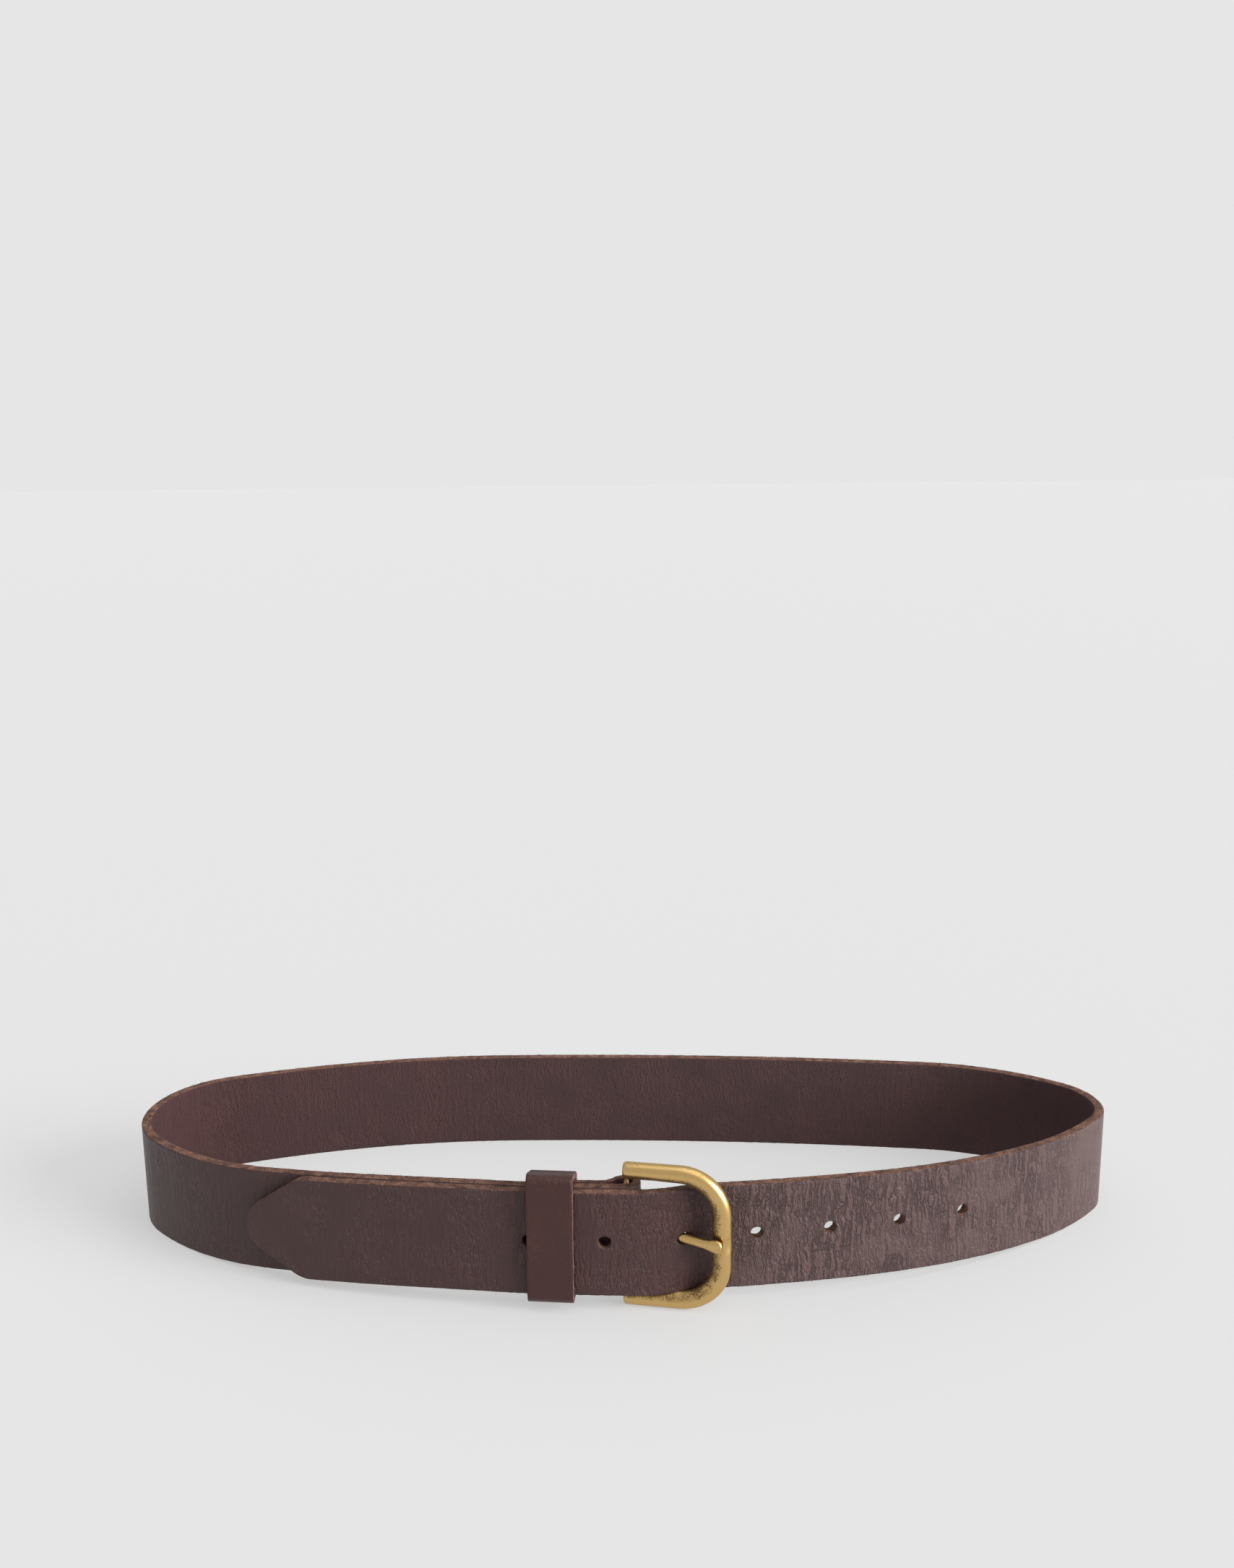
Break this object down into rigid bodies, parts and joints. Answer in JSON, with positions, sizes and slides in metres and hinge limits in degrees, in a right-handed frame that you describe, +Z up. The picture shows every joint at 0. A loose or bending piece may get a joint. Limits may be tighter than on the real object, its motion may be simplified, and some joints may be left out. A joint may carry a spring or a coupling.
{
  "type": "leather belt",
  "caption": "Dress belt fastened in an oval loop: leather strap with pointed end, cast buckle with swinging prong, sliding keeper ring and screw posts.",
  "frame": {"origin": "on the ground, in the middle of the loop's bounding box", "axes": "+X to the right along the front, +Y towards the back, +Z up across the strap's width; the buckle is on the front at -Y"},
  "size_m": [0.3742, 0.1394, 0.053],
  "materials": {
    "strap_leather": "smooth dark brown, waxed",
    "keeper_leather": "smooth dark reddish brown, semi-gloss",
    "antique_brass": "antiqued, dark in the hollows",
    "post_brass": "dull",
    "staple_steel": "bright wire"
  },
  "bodies": {
    "strap": {"strap": "strap_leather", "screw_posts": "post_brass", "post_screws": "post_brass"},
    "free_end": {"strap_free_end": "strap_leather"},
    "keeper": {"keeper": "keeper_leather", "keeper_staples": "staple_steel"},
    "buckle": {"buckle_frame": "antique_brass"},
    "prong": {"prong": "antique_brass"}
  },
  "joints": [
    {"name": "free_end_flex", "type": "hinge", "parent": "strap", "child": "free_end", "pos_m": [-0.04653, -0.06065, 0.025], "axis": [0, 0, 1], "range_deg": [0, 60], "stiffness_Nm_per_rad": 0.02},
    {"name": "keeper_slide", "type": "slide", "parent": "strap", "child": "keeper", "axis": [0.9964, -0.0848, 0], "range_m": [-0.009, 0.006]},
    {"name": "buckle_swing", "type": "hinge", "parent": "strap", "child": "buckle", "pos_m": [0.00057, -0.05466, 0.0265], "axis": [0, 0, -1], "range_deg": [0, 4]},
    {"name": "prong_swing", "type": "hinge", "parent": "buckle", "child": "prong", "pos_m": [0.00057, -0.05466, 0.0265], "axis": [0, 0, -1], "range_deg": [0, 3]}
  ]
}
